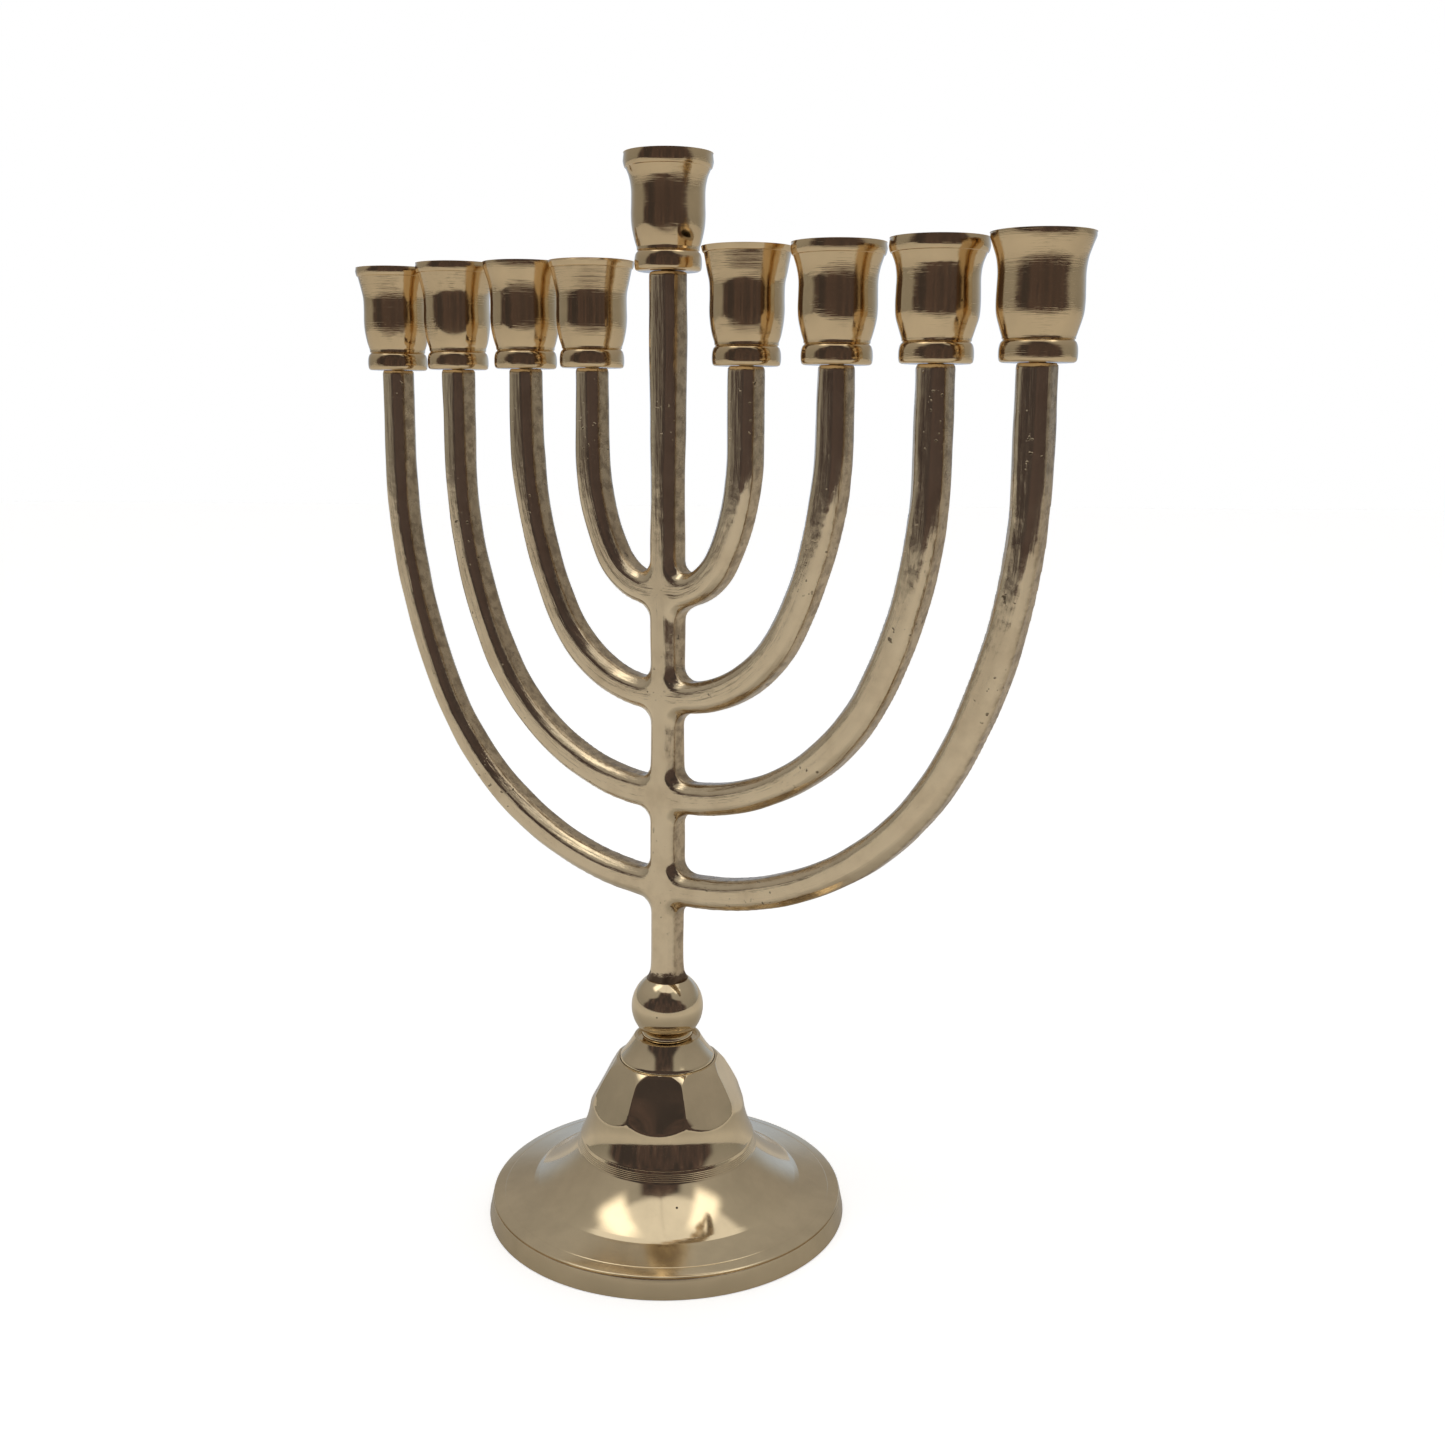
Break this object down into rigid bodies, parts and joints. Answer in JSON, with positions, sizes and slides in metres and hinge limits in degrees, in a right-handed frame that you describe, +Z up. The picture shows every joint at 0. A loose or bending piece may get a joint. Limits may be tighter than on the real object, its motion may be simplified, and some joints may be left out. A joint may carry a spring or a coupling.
{
  "type": "menorah",
  "caption": "Brass Hanukkah menorah: round flared base, ball knop, flat cast branches and turned candle cups in one row, with a raised middle cup.",
  "frame": {"origin": "centre of the base's foot, on the surface it stands on", "axes": "+Z up along the stem, +X along the row of arms, +Y to the back"},
  "size_m": [0.206, 0.0918, 0.2599],
  "materials": {
    "brass": "polished, fine turning lines",
    "cast_brass": "satin cast, filed edges",
    "brass_screw": "turned",
    "steel": "zinc plated"
  },
  "bodies": {
    "base": {"base_plate": "brass", "base_washer": "steel", "base_bolt": "steel", "bell": "brass"},
    "collar": {"collar": "brass"},
    "branches": {"knop": "brass", "stem": "cast_brass", "arm_left_1": "cast_brass", "arm_left_2": "cast_brass", "arm_left_3": "cast_brass", "arm_left_4": "cast_brass", "arm_right_1": "cast_brass", "arm_right_2": "cast_brass", "arm_right_3": "cast_brass", "arm_right_4": "cast_brass"},
    "cup_middle": {"cup_middle": "brass"},
    "cup_left_1": {"cup_left_1": "brass"},
    "cup_left_2": {"cup_left_2": "brass"},
    "cup_left_3": {"cup_left_3": "brass"},
    "cup_left_4": {"cup_left_4": "brass"},
    "cup_right_1": {"cup_right_1": "brass"},
    "cup_right_2": {"cup_right_2": "brass"},
    "cup_right_3": {"cup_right_3": "brass"},
    "cup_right_4": {"cup_right_4": "brass"},
    "cup_screw_middle": {"cup_screw_middle": "brass_screw"},
    "cup_screw_left_1": {"cup_screw_left_1": "brass_screw"},
    "cup_screw_left_2": {"cup_screw_left_2": "brass_screw"},
    "cup_screw_left_3": {"cup_screw_left_3": "brass_screw"},
    "cup_screw_left_4": {"cup_screw_left_4": "brass_screw"},
    "cup_screw_right_1": {"cup_screw_right_1": "brass_screw"},
    "cup_screw_right_2": {"cup_screw_right_2": "brass_screw"},
    "cup_screw_right_3": {"cup_screw_right_3": "brass_screw"},
    "cup_screw_right_4": {"cup_screw_right_4": "brass_screw"}
  },
  "joints": [
    {"name": "spigot_turn", "type": "hinge", "parent": "base", "child": "collar", "pos_m": [0, 0, 0.0409], "axis": [0, 0, 1], "range_deg": [0, 2160]},
    {"name": "spigot_lift", "type": "slide", "parent": "collar", "child": "branches", "axis": [0, 0, 1], "range_m": [0, 0.009]},
    {"name": "cup_lift_middle", "type": "slide", "parent": "branches", "child": "cup_middle", "axis": [0, 0, 1], "range_m": [0, 0.006]},
    {"name": "cup_screw_turn_middle", "type": "hinge", "parent": "cup_middle", "child": "cup_screw_middle", "pos_m": [0, 0, 0.2345], "axis": [0, 0, 1], "range_deg": [0, 4320.1]},
    {"name": "cup_lift_left_1", "type": "slide", "parent": "branches", "child": "cup_left_1", "axis": [0, 0, 1], "range_m": [0, 0.006]},
    {"name": "cup_screw_turn_left_1", "type": "hinge", "parent": "cup_left_1", "child": "cup_screw_left_1", "pos_m": [-0.0234, 0, 0.2129], "axis": [0, 0, 1], "range_deg": [0, 4320.1]},
    {"name": "cup_lift_left_2", "type": "slide", "parent": "branches", "child": "cup_left_2", "axis": [0, 0, 1], "range_m": [0, 0.006]},
    {"name": "cup_screw_turn_left_2", "type": "hinge", "parent": "cup_left_2", "child": "cup_screw_left_2", "pos_m": [-0.0453, 0, 0.2129], "axis": [0, 0, 1], "range_deg": [0, 4320.1]},
    {"name": "cup_lift_left_3", "type": "slide", "parent": "branches", "child": "cup_left_3", "axis": [0, 0, 1], "range_m": [0, 0.006]},
    {"name": "cup_screw_turn_left_3", "type": "hinge", "parent": "cup_left_3", "child": "cup_screw_left_3", "pos_m": [-0.06915, 0, 0.2129], "axis": [0, 0, 1], "range_deg": [0, 4320.1]},
    {"name": "cup_lift_left_4", "type": "slide", "parent": "branches", "child": "cup_left_4", "axis": [0, 0, 1], "range_m": [0, 0.006]},
    {"name": "cup_screw_turn_left_4", "type": "hinge", "parent": "cup_left_4", "child": "cup_screw_left_4", "pos_m": [-0.0919, 0, 0.2129], "axis": [0, 0, 1], "range_deg": [0, 4320.1]},
    {"name": "cup_lift_right_1", "type": "slide", "parent": "branches", "child": "cup_right_1", "axis": [0, 0, 1], "range_m": [0, 0.006]},
    {"name": "cup_screw_turn_right_1", "type": "hinge", "parent": "cup_right_1", "child": "cup_screw_right_1", "pos_m": [0.0224, 0, 0.2129], "axis": [0, 0, 1], "range_deg": [0, 4320.1]},
    {"name": "cup_lift_right_2", "type": "slide", "parent": "branches", "child": "cup_right_2", "axis": [0, 0, 1], "range_m": [0, 0.006]},
    {"name": "cup_screw_turn_right_2", "type": "hinge", "parent": "cup_right_2", "child": "cup_screw_right_2", "pos_m": [0.0463, 0, 0.2129], "axis": [0, 0, 1], "range_deg": [0, 4320.1]},
    {"name": "cup_lift_right_3", "type": "slide", "parent": "branches", "child": "cup_right_3", "axis": [0, 0, 1], "range_m": [0, 0.006]},
    {"name": "cup_screw_turn_right_3", "type": "hinge", "parent": "cup_right_3", "child": "cup_screw_right_3", "pos_m": [0.0705, 0, 0.2129], "axis": [0, 0, 1], "range_deg": [0, 4320.1]},
    {"name": "cup_lift_right_4", "type": "slide", "parent": "branches", "child": "cup_right_4", "axis": [0, 0, 1], "range_m": [0, 0.006]},
    {"name": "cup_screw_turn_right_4", "type": "hinge", "parent": "cup_right_4", "child": "cup_screw_right_4", "pos_m": [0.0933, 0, 0.2129], "axis": [0, 0, 1], "range_deg": [0, 4320.1]}
  ],
  "couplings": [
    {"joint": "spigot_lift", "follows": "spigot_turn", "m_per_rad": 0.00023873},
    {"joint": "cup_screw_turn_middle", "follows": "cup_lift_middle", "rad_per_m": 12566},
    {"joint": "cup_screw_turn_left_1", "follows": "cup_lift_left_1", "rad_per_m": 12566},
    {"joint": "cup_screw_turn_left_2", "follows": "cup_lift_left_2", "rad_per_m": 12566},
    {"joint": "cup_screw_turn_left_3", "follows": "cup_lift_left_3", "rad_per_m": 12566},
    {"joint": "cup_screw_turn_left_4", "follows": "cup_lift_left_4", "rad_per_m": 12566},
    {"joint": "cup_screw_turn_right_1", "follows": "cup_lift_right_1", "rad_per_m": 12566},
    {"joint": "cup_screw_turn_right_2", "follows": "cup_lift_right_2", "rad_per_m": 12566},
    {"joint": "cup_screw_turn_right_3", "follows": "cup_lift_right_3", "rad_per_m": 12566},
    {"joint": "cup_screw_turn_right_4", "follows": "cup_lift_right_4", "rad_per_m": 12566}
  ]
}
